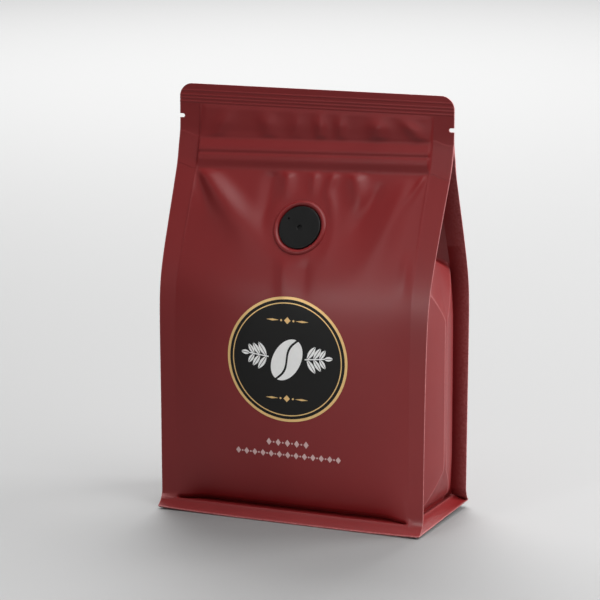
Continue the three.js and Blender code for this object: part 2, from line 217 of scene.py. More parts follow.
def notch_depth(z):
    """How deep the tear notch is at a height: a slot whose end is half a circle."""
    off = np.abs(z - NOTCH_AT)
    round_end = np.sqrt(np.maximum(0, NOTCH_RADIUS**2 - off**2))
    return np.where(off <= NOTCH_RADIUS + 1e-6, NOTCH_DEPTH - NOTCH_RADIUS + round_end, 0)


def half_width(z):
    """Half width to the cut edges: a parabola upwards, less the round of the top corners."""
    widening = (TOP_HALF_WIDTH - BASE_HALF_WIDTH) * np.minimum(1, z / WIDENING_HEIGHT) ** 2
    into = np.maximum(0, z - (HEIGHT - CORNER_RADIUS))
    corner = CORNER_RADIUS - np.sqrt(np.maximum(0, CORNER_RADIUS**2 - into**2))
    return BASE_HALF_WIDTH + widening - corner


def flare(z, back):
    """How far the foot stands out beyond the fins: a power curve down to the ground, rounder at
    the front than at the back."""
    reach, curve = np.where(back, BACK_FLARE, FRONT_FLARE), np.where(back, BACK_CURVE, FRONT_CURVE)
    return reach * np.maximum(0, 1 - z / FLARE_HEIGHT) ** curve


def edge_lift(x, y):
    """The foot's cut edge curls up with the fourth power of x, more towards the back."""
    back = np.clip(0.5 + y / (FIN_DEPTH + 2 * BACK_FLARE), 0, 1)
    at_corner = np.minimum(1, np.abs(x) / BASE_HALF_WIDTH) ** 4
    return (LIFT_FRONT + (LIFT_BACK - LIFT_FRONT) * back) * at_corner


def swell(x, z):
    """Bulge of a filled panel: a sine up the height times a flat-topped curve across. Above the
    foot it rolls under and then, right at the foot, closes in a narrow slot behind the lip: both
    fade upwards by a falling exponential, and a ledge brings the film back out to the lip."""
    share = np.minimum(1, np.abs(x) / BODY_HALF_WIDTH)
    across = 1 - share**BULGE_ACROSS
    up = np.clip((z - FOOT_HEIGHT) / (BAND_BOTTOM - FOOT_HEIGHT), 0, 1)
    above = np.maximum(0, z - FOOT_HEIGHT)
    ledge = smooth_step((z - FOOT_HEIGHT) / LIP + 1)
    tuck = TUCK * smooth_step((1 - share) / TUCK_CORNER) * np.exp(-above / TUCK_HEIGHT)
    slot = SLOT * smooth_step((1 - share) / SLOT_CORNER) * np.exp(-above / SLOT_HEIGHT)
    return across * BULGE * np.sin(np.pi * up**BULGE_BIAS) - (tuck + slot) * ledge


def lip_dip(level, inward, corner):
    """How far the film drops behind the foot's lip, so that the lip stands up: a cosine wave
    about the foot's height, none at the upright seals."""
    return LIP_DIP * bump(level - FOOT_HEIGHT, LIP) * smooth_step(inward / corner)


def eased(z, points):
    """A curve through points of height and value that is level at each and eased between."""
    heights, values = np.array(points, float).T
    cell = np.clip(np.searchsorted(heights, z) - 1, 0, len(heights) - 2)
    t = (z - heights[cell]) / (heights[cell + 1] - heights[cell])
    return values[cell] + (values[cell + 1] - values[cell]) * smooth_step(t)


def tilt(x, z):
    """The band is sealed in a little askew: how much it stands above its height at x, in full
    from its bottom to its top, easing away above, below and across the upright seals."""
    window = smooth_step((z - TILT_FROM) / TILT_EASE_LOW) * smooth_step((TILT_TO - z) / TILT_EASE_HIGH)
    return BAND_TILT * x * window * smooth_step((BASE_HALF_WIDTH - np.abs(x)) / TILT_EASE_SIDE)


def band(x, z):
    """The press-to-close band behind the film: its profile up the height, cut off square at the
    upright seals, where its ends are pressed flat."""
    inside = smooth_step((BODY_HALF_WIDTH - np.abs(x)) / BAND_END)
    height = smooth_step((z - BAND_BOTTOM) / BAND_EASE) * smooth_step((BAND_TOP - z) / BAND_EASE)
    return eased(z, BAND_PROFILE) * inside + BAND_IN_FIN * height * (1 - inside)


def loose(x, z):
    """The unsealed film between the band and the top seal stands off a little, more upwards,
    easing down to the seals round it."""
    window = smooth_step((z - LOOSE_FROM) / LOOSE_EASE_LOW) * smooth_step((LOOSE_TO - z) / LOOSE_EASE_HIGH)
    edge = smooth_step((BODY_HALF_WIDTH - np.abs(x)) / LOOSE_EASE_SIDE)
    return (LOOSE_LIFT + LOOSE_LEAN * np.maximum(0, z - LOOSE_FROM)) * window * edge


def seam(x, z):
    """A fine ridge where the panel meets the upright seals, from the shoulder up to the top
    seal, and a stronger one round the right end of the foot's lip: cosine waves across."""
    window = smooth_step((z - LEAN_START) / SEAM_EASE_LOW) * smooth_step((LOOSE_TO - z) / SEAM_EASE_HIGH)
    at_foot = bump(x - FOOT_SEAM_AT, FOOT_SEAM_HALF) * bump(z - FOOT_HEIGHT, FOOT_SEAM_TALL)
    return SEAM_LIFT * bump(np.abs(x) - SEAM_AT, SEAM_HALF) * window + FOOT_SEAM_LIFT * at_foot


def ribs(z):
    """The fine ribs of the sealing bar, a cosine wave each."""
    return RIB_LIFT * sum(bump(z - at, RIB_HALF) for at in SEAL_RIBS)


def dents(which, x, z):
    """Shallow upright waves of the loose film between the band and the top seal, which fade at
    the band, the seal and the sides."""
    window = smooth_step((z - LOOSE_FROM) / DENT_EASE_LOW) * smooth_step((LOOSE_TO - z) / DENT_EASE_HIGH)
    return folds(which, x, z) * window


def folds(which, x, z):
    """Sum of soft ridges: each a bell curve about a bent line, fading as a sine along it, and
    all of them near the upright seals."""
    total = np.zeros(np.broadcast(x, z).shape)
    for fold in which:
        along = np.clip((z - fold["low"][1]) / (fold["high"][1] - fold["low"][1]), 0, 1)
        centre = fold["low"][0] + (fold["high"][0] - fold["low"][0]) * along ** fold["bend"]
        spread = fold["spread"][0] + (fold["spread"][1] - fold["spread"][0]) * along
        fade = np.sin(np.pi * along**FOLD_SKEW)
        total += fold["lift"] * fade * np.exp(-(((x - centre) / spread) ** 2))
    return total * smooth_step((BODY_HALF_WIDTH - np.abs(x)) / FOLD_EASE_SIDE)


def below_band(z):
    """One below the band, easing to none at its lower edge."""
    return smooth_step((FOLD_TOP - z) / FOLD_EASE_TOP)


def ripple(x, z, phase):
    """The film's own slow unevenness: a product of long waves across and up, and a slanting
    finer wave, easing away at the foot and the band."""
    broad = np.sin(x / RIPPLE_ACROSS + phase) * np.cos(z / RIPPLE_UP - phase)
    fine = RIPPLE_FINE * np.sin(x / RIPPLE_FINE_ACROSS + z / RIPPLE_FINE_UP + 2 * phase)
    above_foot = np.clip((z - FLARE_HEIGHT) / RIPPLE_EASE, 0, 1)
    under_band = np.clip((BAND_BOTTOM - z) / RIPPLE_EASE, 0, 1)
    return RIPPLE * (broad + fine) * above_foot * under_band


def valve_plane():
    """Reach of the plane that the valve's flange holds flat, and its gain for each millimetre of
    height: the chord of the swollen panel over the disc's own width."""
    heights = VALVE_AT + CAP_RADIUS * np.array([-1, 0, 1])
    under, middle, over = fin_reach(heights) + swell(0.0, heights)
    return middle, (over - under) / (2 * CAP_RADIUS)


VALVE_REACH, VALVE_GAIN = valve_plane()


def panel_reach(x, z, is_back, which_folds, which_dents, phase):
    """Distance of a panel's face from the mid-plane: the sum of all its forms. The forms at the
    band follow its tilt."""
    level = z - tilt(x, z)
    plain = fin_reach(z) + flare(z, is_back) + swell(x, z) + ribs(z) + seam(x, z)
    at_band = band(x, level) + loose(x, level) + dents(which_dents, x, level)
    return plain + at_band + folds(which_folds, x, z) * below_band(level) + ripple(x, z, phase)


def front_reach(x, z):
    """Distance of the front face from the mid-plane: the panel's, drawn to the valve's plane
    near the valve and sunk under its ring."""
    free = panel_reach(x, z, False, FRONT_FOLDS, FRONT_DENTS, phase=0.4)
    flat = VALVE_REACH + VALVE_GAIN * (z - VALVE_AT)
    off = np.hypot(x, (z - VALVE_AT) * math.hypot(1, VALVE_GAIN))
    hold = smooth_step(1 - (off - VALVE_FLAT) / VALVE_EASE)
    sink = VALVE_SINK * smooth_step((VALVE_FLAT - VALVE_SINK_INSET - off) / VALVE_SINK_EASE)
    return free + (flat - free) * hold - sink


def back_reach(x, z):
    """Distance of the back face from the mid-plane: the panel's, without a valve."""
    return panel_reach(x, z, True, BACK_FOLDS, BACK_DENTS, phase=1.9)


# The gusset below the fold: a ridge that splits into a Y at either end. Rounds, spreads and
# corners are shares of the half depth
RIDGE_REACH, RIDGE_ROUND, PILLOW = 7.0, 0.03, 1.2
SPLIT_LOW, SPLIT_HIGH, RIDGE_END = 25, 88.8, 111.6
CREASE_ROUND, LOW_ROUND, FOOT_ROLL = 0.035, 0.08, 7
LOW_Y_SPREAD, CREASE_LEAST, CREASE_MOST = 0.78, 0.06, 0.94
SIDE_TUCK, SIDE_TUCK_HEIGHT, SIDE_CORNER = 2.0, 2.4, 0.1
# Width, strength and evenness of the painted highlight along the gusset's creases and beside the foot's
# lip. The creases also stand proud by the same curve
CREASE_HIGHLIGHT_WIDTH, CREASE_PROUD, PROUD_FROM, PROUD_INSET = 0.45, 0.18, FOOT_HEIGHT + 1, 0.01
HIGHLIGHT_MOST, HIGHLIGHT_BESIDE_FOOT, RIDGE_EVEN = 0.8, 0.8, 0.2

# The gusset above the fold: the pocket, as deep as its film is wide
FOLD_AT_ROOT, FOLD_RISE, FOLD_TURN, FOLD_FADES_AT = 107.5, 8.5, 5.5, 150
GUSSET_HALF_FILM = 27.5


def crease_share(level):
    """Where the slanting creases of the two Ys lie, as a share of the half depth."""
    low_y = LOW_Y_SPREAD * (1 - (level - FOOT_HEIGHT) / (SPLIT_LOW - FOOT_HEIGHT))
    high_y = 1 - (RIDGE_END - level) / (RIDGE_END - SPLIT_HIGH)
    return np.clip(np.maximum(low_y, high_y), CREASE_LEAST, CREASE_MOST)


def soft_min(a, b, radius):
    """The lesser of two values, rounded where they cross."""
    return 0.5 * (a + b - np.hypot(a - b, radius))


def crease_highlight(share, level):
    """How strong the painted highlight along the creases is: a bell curve of the distance from the nearest
    crease, which is the ridge between the two Ys, a slanting crease above or below it, or the foot's lip.
    The same curve lets the creases stand a little proud."""
    ridge = bump(level - 0.5 * (SPLIT_LOW + SPLIT_HIGH), 0.5 * (SPLIT_HIGH - SPLIT_LOW)) ** RIDGE_EVEN
    slant = (level > FOOT_HEIGHT) & (level < RIDGE_END)
    off_ridge = share * FIN_DEPTH / 2 / CREASE_HIGHLIGHT_WIDTH
    off_slant = (np.abs(share) - crease_share(level)) * FIN_DEPTH / 2 / CREASE_HIGHLIGHT_WIDTH
    foot = HIGHLIGHT_BESIDE_FOOT * np.exp(-(((level - FOOT_HEIGHT + LIP) / CREASE_HIGHLIGHT_WIDTH) ** 2)) + 0 * share
    folded = np.maximum(ridge * np.exp(-(off_ridge**2)), slant * np.exp(-(off_slant**2)))
    return HIGHLIGHT_MOST * np.maximum(folded, foot)


def gusset_film(share, level):
    """x, y and z of the gusset film. Below the fold it is a hip roof: the least of the ways in
    from the fins, the foot and the shoulder, with the creases standing a little proud. Above
    the fold it turns into the pocket, whose depth keeps the film's width. Levels rise towards
    the middle at the fold."""
    inward = 1 - np.abs(share)
    low_y = (level - FOOT_HEIGHT) / (SPLIT_LOW - FOOT_HEIGHT)
    high_y = (RIDGE_END - level) / (RIDGE_END - SPLIT_HIGH)
    crest = 1 - np.hypot(share, RIDGE_ROUND)
    foot_roll = 1 - (1 - np.clip(low_y, 0, 1)) ** FOOT_ROLL
    low_face = np.where(low_y < 1, foot_roll * (1 - LOW_Y_SPREAD * (1 - low_y)), low_y)
    rise = soft_min(soft_min(crest, low_face, LOW_ROUND), high_y, CREASE_ROUND)
    pillow = PILLOW * 4 * inward * (1 - inward) * np.clip(low_y, 0, 1) * np.clip(high_y, 0, 1)
    down = np.clip((FOOT_HEIGHT - level) / (FOOT_HEIGHT - FOOT_EDGE), 0, 1)
    root = BODY_HALF_WIDTH + (BASE_HALF_WIDTH - BODY_HALF_WIDTH) * down
    proud = CREASE_PROUD * crease_highlight(share, level) * (level > PROUD_FROM) * (inward > PROUD_INSET)
    above = np.maximum(0, level - FOOT_HEIGHT)
    tuck = SIDE_TUCK * np.exp(-above / SIDE_TUCK_HEIGHT)
    tuck = tuck * smooth_step((level - FOOT_HEIGHT) / LIP + 1) * smooth_step(inward / SIDE_CORNER)
    outer = root + RIDGE_REACH * np.maximum(0, rise) * (inward > 0) + pillow - tuck + proud
    up_to_fold = (level - SPLIT_HIGH) / (FOLD_AT_ROOT - SPLIT_HIGH)
    past_fold = (FOLD_FADES_AT - level) / (FOLD_FADES_AT - FOLD_AT_ROOT - FOLD_TURN)
    z = level + FOLD_RISE * np.clip(np.minimum(up_to_fold, past_fold), 0, 1) * inward
    z = z - lip_dip(level, inward, SIDE_CORNER)
    gap = half_gap(z) + flare(z, share > 0)
    pocket = BODY_HALF_WIDTH - np.sqrt(np.maximum(0, GUSSET_HALF_FILM**2 - gap**2)) * inward
    turn = smooth_step((level - FOLD_AT_ROOT) / FOLD_TURN)
    return outer + (pocket - outer) * turn, share * gap, z


def stations(*stretches):
    """Stations along a line: a first value, and then for each stretch of an end and a count so
    many even steps to that end."""
    values = [np.array([stretches[0]], float)]
    for end, count in stretches[1:]:
        values.append(np.linspace(values[-1][-1], end, count + 1)[1:])
    return np.concatenate(values)


# Levels of the rings, closer where the film turns fast, and the columns across a panel, a fin
# and a gusset as shares of their half width
BODY_LEVELS = stations(
    FOOT_EDGE, (FOOT_HEIGHT - LIP, 6), (FOOT_HEIGHT + LIP, 14), (FLARE_HEIGHT, 12), (SPLIT_LOW, 22),
    (SPLIT_HIGH, 32), (FOLD_AT_ROOT, 16), (FOLD_AT_ROOT + FOLD_TURN, 10), (BAND_BOTTOM - 0.8, 38),
    (BAND_BOTTOM + 1.2, 9), (157.2, 8), (161, 12), (PANELS_MEET_AT, 6),
)
corner_turn = np.linspace(0.55, 0.5 * np.pi, 14)
beside_notch = NOTCH_RADIUS + 0.03
TOP_LEVELS = np.concatenate([
    stations(PANELS_MEET_AT, (BAND_TOP + 0.3, 9), (LOOSE_FROM + 5, 7), (NOTCH_AT - beside_notch, 4)),
    NOTCH_AT + NOTCH_RADIUS * np.sin(np.linspace(-0.5, 0.5, 11) * np.pi),
    stations(NOTCH_AT + beside_notch, (LOOSE_TO - 0.8, 6), (SEAL_RIBS[0] - RIB_HALF, 5)),
    stations(SEAL_RIBS[0] - RIB_HALF, (SEAL_RIBS[-1] + RIB_HALF, 34)),
    HEIGHT - CORNER_RADIUS + CORNER_RADIUS * np.sin(corner_turn),
])
TOP_LEVELS = np.unique(np.round(TOP_LEVELS, 5))

FRONT_SHARES = stations(0, (0.9, 62), (0.985, 13), (1, 4))
BACK_SHARES = stations(0, (0.9, 32), (0.985, 8), (1, 3))
FIN_SHARES = np.array([0.06, 0.12, 0.2, 0.5, 0.8, 0.94, 1.0])
FLANK_SHARES = np.array([1, 0.97, 0.9, 0.78, 0.64, 0.5, 0.36, 0.24, 0.13, 0.06, 0.025, 0])
CREST_SHARES = np.array([0.85, 0.6, 0.35, 0.15])


def panel_columns(level, shares):
    """x of a panel's columns at each level, left to right: even shares of the body, then of
    the fin out to its cut edge."""
    edge = (half_width(level) - notch_depth(level))[:, None]
    fin = BODY_HALF_WIDTH + (edge - BODY_HALF_WIDTH) * FIN_SHARES
    body = np.repeat(BODY_HALF_WIDTH * shares[None, 1:], len(level), axis=0)
    right = np.concatenate([body, fin], axis=1)
    return np.concatenate([-right[:, ::-1], np.zeros((len(level), 1)), right], axis=1)


def gusset_side(level):
    """x, y, z and share of pale worn edge and painted highlight of the right side between the fins' outer
    edges: inner edge of the front fin, the gusset film with columns along its creases, inner edge of the
    back fin."""
    crease = crease_share(level)[:, None]
    flank = crease + (1 - crease) * FLANK_SHARES
    half = np.concatenate([flank, crease * CREST_SHARES], axis=1)
    share = np.concatenate([-half, np.zeros_like(crease), half[:, ::-1]], axis=1)
    x, y, z = gusset_film(share, level[:, None])
    edge = half_width(level)[:, None]
    x = np.concatenate([edge, x, edge], axis=1)
    y = np.concatenate([y[:, :1], y, y[:, -1:]], axis=1)
    z = np.concatenate([level[:, None], z, level[:, None]], axis=1)
    # Painted highlight along the creases and the foot's lip. The cut edges at either end get the pale worn
    # edge with painted highlight in full
    wear_and_highlight = np.pad(crease_highlight(share, level[:, None]), ((0, 0), (1, 1)), constant_values=1)
    return np.stack([x, y, z, wear_and_highlight], axis=-1)


def sheet_side(level):
    """x, y, z and share of pale worn edge and painted highlight of the cut edge where front and back are
    sealed to each other, full all along.
    """
    edge = (half_width(level) - notch_depth(level))[:, None]
    return np.stack([edge, np.zeros_like(edge), level[:, None], np.ones_like(edge)], axis=-1)


def pouch_rings(level, side):
    """Rings round the pouch, one for each level: front panel, right side, back panel and left
    side, with the foot's edge curled up."""
    z = level[:, None]
    front_x = panel_columns(level, FRONT_SHARES)
    back_x = panel_columns(level, BACK_SHARES)
    front_z, back_z = z + tilt(front_x, z), z + tilt(-back_x, z)
    front = np.stack([front_x, -front_reach(front_x, front_z), front_z, 0 * front_x], axis=-1)
    back = np.stack([-back_x, back_reach(-back_x, back_z), back_z, 0 * back_x], axis=-1)
    for panel in (front, back):
        panel[..., 2] -= lip_dip(z, 1 - np.abs(panel[..., 0]) / BODY_HALF_WIDTH, SLOT_CORNER)
    # The panels' cut edges at the fins get the pale worn edge with painted highlight in full
    front[:, (0, -1), 3] = back[:, (0, -1), 3] = 1
    ring = np.concatenate([front, side, back, side * (-1, -1, 1, 1)], axis=1)
    curl = np.maximum(0, 1 - z / CURL_HEIGHT) ** CURL_POWER
    ring[..., 2] += curl * edge_lift(ring[..., 0], ring[..., 1])
    return ring


# The underside: how far in from the foot's edge, and how high there, and its middle fold
BASE_PROFILE = (
    (0.4, 0.0), (2.5, 1.6), (4.6, 2.7), (5.4, 2.9), (6.2, 2.5), (7.6, 0.9), (9.5, 0.2), (11.5, 0.0),
)
FOOT_INSET, BASE_RINGS = 4.6, 11
BASE_FOLD, BASE_FOLD_SPREAD, BASE_FOLD_END, BASE_FOLD_EASE = 0.35, 0.8, 52, 8


def underside(ground):
    """Rings under the pouch, from the foot's edge to the middle: the foot's underside, a groove
    behind it, the pillow's round edge and the flat base with a shallow fold along its middle."""
    reach = np.array([BASE_HALF_WIDTH, FIN_DEPTH / 2 + BACK_FLARE])
    inset, height = np.array(BASE_PROFILE).T[..., None]
    flat = ground[None, :, :2] * (1 - inset / reach)[:, None, :]
    lift = (ground[:, 2] - FOOT_EDGE) * np.clip(1 - inset / FOOT_INSET, 0, 1) + height
    rim = np.concatenate([flat, lift[..., None], 0 * lift[..., None]], axis=2)
    # The foot's cut edge gets the pale worn edge with painted highlight in full
    rim[0, :, 3] = 1
    towards = np.linspace(1, 0, BASE_RINGS + 1)[1:, None, None]
    inner = np.concatenate([flat[-1] * towards, np.zeros((BASE_RINGS, len(ground), 2))], axis=2)
    fold = BASE_FOLD * np.exp(-((inner[..., 1] / BASE_FOLD_SPREAD) ** 2))
    inner[..., 2] = fold * np.clip((BASE_FOLD_END - np.abs(inner[..., 0])) / BASE_FOLD_EASE, 0, 1)
    return np.concatenate([rim, inner])[::-1]


def grid_triangles(rows, columns):
    """Two triangles for each cell of a grid that closes on itself sideways, rows upwards."""
    row = np.arange(rows - 1)[:, None]
    column = np.arange(columns)[None, :]
    here, beside = row * columns + column, row * columns + (column + 1) % columns
    above, across = here + columns, beside + columns
    first = np.stack([here, beside, across], axis=-1).reshape(-1, 3)
    second = np.stack([here, across, above], axis=-1).reshape(-1, 3)
    return np.concatenate([first, second])


def skin(*grids):
    """One closed skin from grids that close on themselves sideways: equal points become one,
    triangles that lose a corner by it go, and a negative volume turns the faces round."""
    points = np.concatenate([grid.reshape(-1, grid.shape[-1]) for grid in grids])
    sizes = np.cumsum([0] + [grid.shape[0] * grid.shape[1] for grid in grids])
    triangles = np.concatenate([
        grid_triangles(*grid.shape[:2]) + start for grid, start in zip(grids, sizes)
    ])
    _, first, same = np.unique(
        np.round(points[:, :3], 4), axis=0, return_index=True, return_inverse=True)
    joined = same.ravel()[triangles]
    a, b, c = joined.T
    joined = joined[(a != b) & (b != c) & (c != a)]
    points = points[first]
    p, q, r = np.moveaxis(points[joined][..., :3], 1, 0)
    volume = np.sum(p * np.cross(q, r))
    return points, joined if volume > 0 else joined[:, ::-1]


def together(*skins):
    """Several closed skins as the points and triangles of one mesh."""
    starts = np.cumsum([0] + [len(points) for points, _ in skins])
    points = np.concatenate([points for points, _ in skins])
    return points, np.concatenate([faces + start for (_, faces), start in zip(skins, starts)])


SHARP_DEGREES = 38


def make_piece(name, points, triangles, material, slot):
    """A mesh object at the origin from points in millimetres, smooth but for its sharp edges.
    A fourth column of the points says how much pale worn edge and painted highlight the film shows there."""
    mesh = bpy.data.meshes.new(name)
    mesh.from_pydata((points[:, :3] * MM).tolist(), [], triangles.tolist())
    mesh.polygons.foreach_set("use_smooth", np.ones(len(mesh.polygons), bool))
    mesh.set_sharp_from_angle(angle=math.radians(SHARP_DEGREES))
    if points.shape[1] > 3:
        wear_and_highlight = mesh.attributes.new("wear_and_highlight", "FLOAT", "POINT")
        wear_and_highlight.data.foreach_set("value", points[:, 3].astype(np.float32))
    mesh.materials.append(material)
    mesh.update()
    piece = bpy.data.objects.new(name, mesh)
    bpy.context.scene.collection.objects.link(piece)
    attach(piece, "root")
    return piece


def pouch_skin():
    """The whole skin: underside, body up to where the panels meet, top sheet and its cut edge."""
    body = pouch_rings(BODY_LEVELS, gusset_side(BODY_LEVELS))
    top = pouch_rings(TOP_LEVELS, sheet_side(TOP_LEVELS))
    # The foot's edge, the top's cut edge and the lid get the pale worn edge with painted highlight in full
    body[0, :, 3] = 1
    top[-1, :, 3] = 1
    lid = np.stack([top[-1], np.broadcast_to((0, 0, HEIGHT, 1), top[-1].shape)])
    return skin(np.concatenate([underside(body[0]), body]), top, lid)


def new_material(name):
    """A material, its node tree and its shader."""
    material = bpy.data.materials.new(name)
    material.use_nodes = True
    return material, material.node_tree, material.node_tree.nodes["Principled BSDF"]


def noise(tree, scale, detail=2):
    """Noise on the piece's own coordinates, with its scale in waves to the metre."""
    place = tree.nodes.new("ShaderNodeTexCoord")
    texture = tree.nodes.new("ShaderNodeTexNoise")
    texture.inputs["Scale"].default_value = scale
    texture.inputs["Detail"].default_value = detail
    tree.links.new(place.outputs["Object"], texture.inputs["Vector"])
    return texture.outputs["Fac"]


def between(tree, factor, first, last, start=0, end=1):
    """A colour between two others, which the factor reaches at its start and its end."""
    node = tree.nodes.new("ShaderNodeValToRGB")
    for element, position, colour in zip(node.color_ramp.elements, (start, end), (first, last)):
        element.position = position
        element.color = (*colour, 1)
    tree.links.new(factor, node.inputs["Fac"])
    return node.outputs["Color"]


def uneven_gloss(tree, shader, factor, least, most):
    """Roughness that runs from the least to the most with the factor."""
    node = tree.nodes.new("ShaderNodeMapRange")
    node.inputs["To Min"].default_value = least
    node.inputs["To Max"].default_value = most
    tree.links.new(factor, node.inputs["Value"])
    tree.links.new(node.outputs["Result"], shader.inputs["Roughness"])


def product(tree, first, second):
    """One value times another."""
    node = tree.nodes.new("ShaderNodeMath")
    node.operation = "MULTIPLY"
    tree.links.new(first, node.inputs[0])
    tree.links.new(second, node.inputs[1])
    return node.outputs["Value"]


def relief(tree, height, strength, depth):
    """A bump node for a height, with its depth in metres."""
    node = tree.nodes.new("ShaderNodeBump")
    node.inputs["Strength"].default_value = strength
    node.inputs["Distance"].default_value = depth
    tree.links.new(height, node.inputs["Height"])
    return node


RED_DEEP, RED_LIGHT = (0.186, 0.0094, 0.0104), (0.203, 0.0107, 0.0117)
# Pale pink for cut edges and creases: partly worn ink at the cut edges, partly painted highlight
WEAR_AND_HIGHLIGHT_PINK = (0.62, 0.24, 0.24)


def film_material():
    """Matt laminated film: deep red print under a soft varnish, with fine grain and slow waves of tone and
    gloss. A pale pink, broken up by fine noise, is partly worn ink and partly painted highlight along the
    cut edges, and painted highlight along the sharp creases and the foot's lip."""
    material, tree, shader = new_material("matt_red_film")
    shader.inputs["IOR"].default_value = 1.46
    tone = noise(tree, scale=28, detail=3)
    print_tone = between(tree, tone, RED_DEEP, RED_LIGHT, start=0.3, end=0.7)
    uneven_gloss(tree, shader, tone, least=0.38, most=0.48)

    # The pale pink is mixed in by the wear and highlight attribute: worn ink and painted highlight at the
    # cut edges, painted highlight along the creases
    wear_and_highlight = tree.nodes.new("ShaderNodeAttribute")
    wear_and_highlight.attribute_name = "wear_and_highlight"
    squared = product(tree, wear_and_highlight.outputs["Fac"], wear_and_highlight.outputs["Fac"])
    wear_and_highlight_mix = tree.nodes.new("ShaderNodeMix")
    wear_and_highlight_mix.data_type = "RGBA"
    wear_and_highlight_breakup = noise(tree, scale=900, detail=4)
    tree.links.new(product(tree, squared, wear_and_highlight_breakup), wear_and_highlight_mix.inputs["Factor"])
    tree.links.new(print_tone, wear_and_highlight_mix.inputs["A"])
    wear_and_highlight_mix.inputs["B"].default_value = (*WEAR_AND_HIGHLIGHT_PINK, 1)
    tree.links.new(wear_and_highlight_mix.outputs["Result"], shader.inputs["Base Color"])

    grain = relief(tree, noise(tree, scale=2200), strength=0.03, depth=0.00005)
    waves = relief(tree, noise(tree, scale=60, detail=1), strength=0.07, depth=0.0006)
    tree.links.new(grain.outputs["Normal"], waves.inputs["Normal"])
    tree.links.new(waves.outputs["Normal"], shader.inputs["Normal"])
    return material


FILM = film_material()
pouch = make_piece("pouch_film", *pouch_skin(), FILM, "film")
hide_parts("bag")


# ---- The valve ring -------------------------------------------------------------------------
# The same film drawn up over the valve's flange: a round bead that the heat-sealing tool
# presses round the black disc, square to the leaning panel.

RING_PROFILE = np.array([
    (9.9, -1.6), (12.6, -1.6), (12.45, -0.05), (12.3, 0.28), (12.05, 0.58), (11.7, 0.80),
    (11.3, 0.90), (10.9, 0.86), (10.55, 0.70), (10.25, 0.40), (10.0, 0.0), (9.9, -1.6),
])
RING_SEGMENTS = 160


def valve_points(across, up, out):
    """Points on the valve's plane: across in x, up along the panel, out square to it."""
    length = math.hypot(1, VALVE_GAIN)
    along = np.array([0, -VALVE_GAIN, 1]) / length
    outward = np.array([0, -1, -VALVE_GAIN]) / length
    centre = np.array([0, -VALVE_REACH, VALVE_AT])
    across, up, out = np.broadcast_arrays(across, up, out)
    return centre + across[..., None] * (1, 0, 0) + up[..., None] * along + out[..., None] * outward


def turned(profile, segments):
    """Across, up and out on the valve's plane for a profile of radius and height that is
    carried round the valve's axis."""
    turn = np.linspace(0, 2 * np.pi, segments, endpoint=False)
    radius, height = profile[:, :1], profile[:, 1:]
    return radius * np.cos(turn), radius * np.sin(turn), height


ring_grid = valve_points(*turned(RING_PROFILE, RING_SEGMENTS))
ring = make_piece("valve_ring", *skin(ring_grid), FILM, "film")
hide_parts("bag")


# ---- The valve cap --------------------------------------------------------------------------
# A moulded disc of black plastic that sits in the ring, with the vent that lets gas out in its
# middle and a pin hole beside it. Its rim is rounded, and its face is faintly dished.

CAP_FACE, CAP_FOOT, CAP_FOOT_BEVEL = 0.55, -0.9, 0.2
CAP_ROUND, CAP_DISH, CAP_SEGMENTS = 0.45, 0.12, 420
VENT_RADIUS, VENT_LIP, VENT_DEPTH = 1.0, 0.35, 1.0
PIN_RADIUS, PIN_WALL, PIN_DEPTH, PIN_AT = 0.5, 0.12, 0.6, (-5.6, 3.6)
BESIDE_PIN, FACE_ABOVE = 0.7, 0.3
BLACK_DEEP, BLACK_LIGHT = (0.0025, 0.0026, 0.0026), (0.0045, 0.0046, 0.0045)


def cap_skin():
    """The cap as a grid of radius and turn: foot, rim as a quarter round, dished face, lip of
    the vent as a quarter round and its floor. The pin hole is a steep dip in the face."""
    quarter = np.linspace(0, 0.5 * np.pi, 6)
    rim = np.stack([
        CAP_RADIUS - CAP_ROUND * (1 - np.cos(quarter)),
        CAP_FACE - CAP_ROUND * (1 - np.sin(quarter)),
    ], axis=-1)
    pin_ring = math.hypot(*PIN_AT)
    face_radius = stations(
        CAP_RADIUS - CAP_ROUND, (pin_ring + BESIDE_PIN, 6), (pin_ring - BESIDE_PIN, 18),
        (VENT_RADIUS + VENT_LIP, 12),
    )[1:]
    face = np.stack([face_radius, np.full_like(face_radius, CAP_FACE)], axis=-1)
    lip = np.stack([
        VENT_RADIUS + VENT_LIP * (1 - np.sin(quarter)),
        CAP_FACE - VENT_LIP * (1 - np.cos(quarter)),
    ], axis=-1)[1:]
    foot = np.array([
        (0, CAP_FOOT), (CAP_RADIUS - CAP_FOOT_BEVEL, CAP_FOOT), (CAP_RADIUS, CAP_FOOT + CAP_FOOT_BEVEL),
    ])
    vent_floor = np.array([(VENT_RADIUS, CAP_FACE - VENT_DEPTH), (0, CAP_FACE - VENT_DEPTH)])
    profile = np.concatenate([foot, rim, face, lip, vent_floor])
    across, up, height = turned(profile, CAP_SEGMENTS)
    dish = CAP_DISH * (1 - (profile[:, :1] / CAP_RADIUS) ** 2)
    pin = PIN_DEPTH * smooth_step((PIN_RADIUS - np.hypot(across - PIN_AT[0], up - PIN_AT[1])) / PIN_WALL)
    return skin(valve_points(across, up, height - (dish + pin) * (height > FACE_ABOVE)))


def cap_material():
    """Moulded black plastic: satin, with a fine spark-eroded grain and slightly uneven gloss."""
    material, tree, shader = new_material("black_moulded_plastic")
    shader.inputs["Specular IOR Level"].default_value = 0.28
    tone = noise(tree, scale=240, detail=4)
    tree.links.new(between(tree, tone, BLACK_DEEP, BLACK_LIGHT), shader.inputs["Base Color"])
    uneven_gloss(tree, shader, tone, least=0.42, most=0.56)
    grain = relief(tree, noise(tree, scale=3600), strength=0.35, depth=0.00005)
    tree.links.new(grain.outputs["Normal"], shader.inputs["Normal"])
    return material


